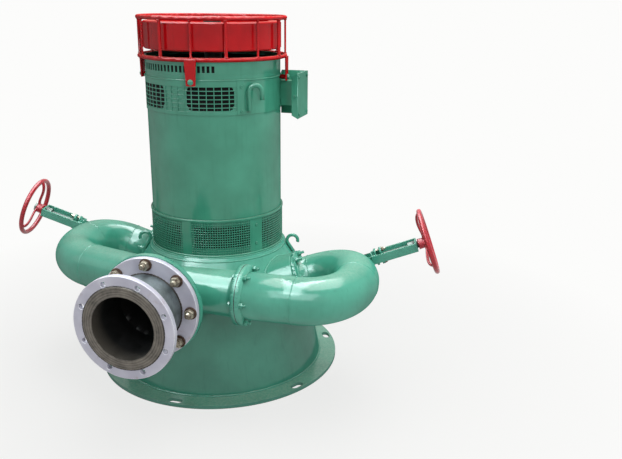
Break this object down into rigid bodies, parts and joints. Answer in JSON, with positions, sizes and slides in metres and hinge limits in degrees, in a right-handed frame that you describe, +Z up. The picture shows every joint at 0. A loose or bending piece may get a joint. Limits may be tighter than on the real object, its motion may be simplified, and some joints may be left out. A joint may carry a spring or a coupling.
{
  "type": "vertical hydroelectric generator set",
  "caption": "Vertical hydroelectric set: conical turbine casing with a flanged inlet and twin needle-valve arms, a ventilated generator and a caged flywheel on top.",
  "frame": {"origin": "middle of the base flange's underside, on the floor", "axes": "+Z up along the shaft, -Y towards the water inlet, +X towards the right-hand arm"},
  "size_m": [1.6594, 1.1805, 1.267],
  "materials": {
    "green_enamel": "gloss teal-green enamel",
    "red_enamel": "gloss red enamel",
    "flange_paint": "pale lilac-grey paint",
    "pipe_steel": "grey turned steel",
    "gasket": "dark brown face ring",
    "bright_steel": "turned steel",
    "dark_iron": "dark primer",
    "laminations": "varnished steel sheet",
    "windings": "varnished copper wire",
    "runner_steel": "cast stainless steel"
  },
  "bodies": {
    "root": {"base_flange": "green_enamel", "cage_guard": "red_enamel", "cage_straps": "red_enamel", "casing_hooks": "green_enamel", "casing_shoulder": "green_enamel", "casing_skirt": "green_enamel", "casing_top_plate": "green_enamel", "generator_frame": "green_enamel", "generator_hooks": "green_enamel", "inlet_tee": "green_enamel", "left_arm": "green_enamel", "left_gland": "green_enamel", "left_nozzle": "runner_steel", "left_nozzle_housing": "green_enamel", "left_spindle_boss": "green_enamel", "left_yoke": "green_enamel", "lower_end_shield": "dark_iron", "lower_vent_band": "green_enamel", "right_arm": "green_enamel", "right_gland": "green_enamel", "right_nozzle": "runner_steel", "right_nozzle_housing": "green_enamel", "right_spindle_boss": "green_enamel", "right_yoke": "green_enamel", "stator_core": "laminations", "stator_windings": "windings", "stub_face_ring": "gasket", "stub_inner_flange": "flange_paint", "stub_outer_flange": "flange_paint", "stub_pipe": "pipe_steel", "terminal_box": "green_enamel", "terminal_box_cover": "green_enamel", "top_cover": "green_enamel", "upper_end_shield": "dark_iron", "upper_vent_band": "green_enamel"},
    "rotor": {"shaft": "bright_steel", "rotor_core": "laminations", "runner": "runner_steel", "flywheel": "red_enamel"},
    "right_wheel": {"right_handwheel": "red_enamel", "right_spindle_nut": "bright_steel"},
    "left_wheel": {"left_handwheel": "red_enamel", "left_spindle_nut": "bright_steel"},
    "right_needle": {"right_spindle": "bright_steel"},
    "left_needle": {"left_spindle": "bright_steel"}
  },
  "joints": [
    {"name": "rotor_spin", "type": "hinge", "parent": "root", "child": "rotor", "pos_m": [0, 0, 0.6], "axis": [0, 0, 1], "continuous": true},
    {"name": "right_wheel_turn", "type": "hinge", "parent": "root", "child": "right_wheel", "pos_m": [0.75955, -0.00011, 0.51325], "axis": [0.9254, 0.1632, 0.342], "range_deg": [-360, 1350]},
    {"name": "right_needle_travel", "type": "slide", "parent": "root", "child": "right_needle", "axis": [0.9254, 0.1632, 0.342], "range_m": [-0.0085, 0.0305]},
    {"name": "left_wheel_turn", "type": "hinge", "parent": "root", "child": "left_wheel", "pos_m": [-0.75955, 0.00011, 0.51325], "axis": [-0.9254, -0.1632, 0.342], "range_deg": [-360, 1350]},
    {"name": "left_needle_travel", "type": "slide", "parent": "root", "child": "left_needle", "axis": [-0.9254, -0.1632, 0.342], "range_m": [-0.0085, 0.0305]}
  ],
  "couplings": [
    {"joint": "right_needle_travel", "follows": "right_wheel_turn", "m_per_rad": 0.0012732},
    {"joint": "left_needle_travel", "follows": "left_wheel_turn", "m_per_rad": 0.0012732}
  ]
}
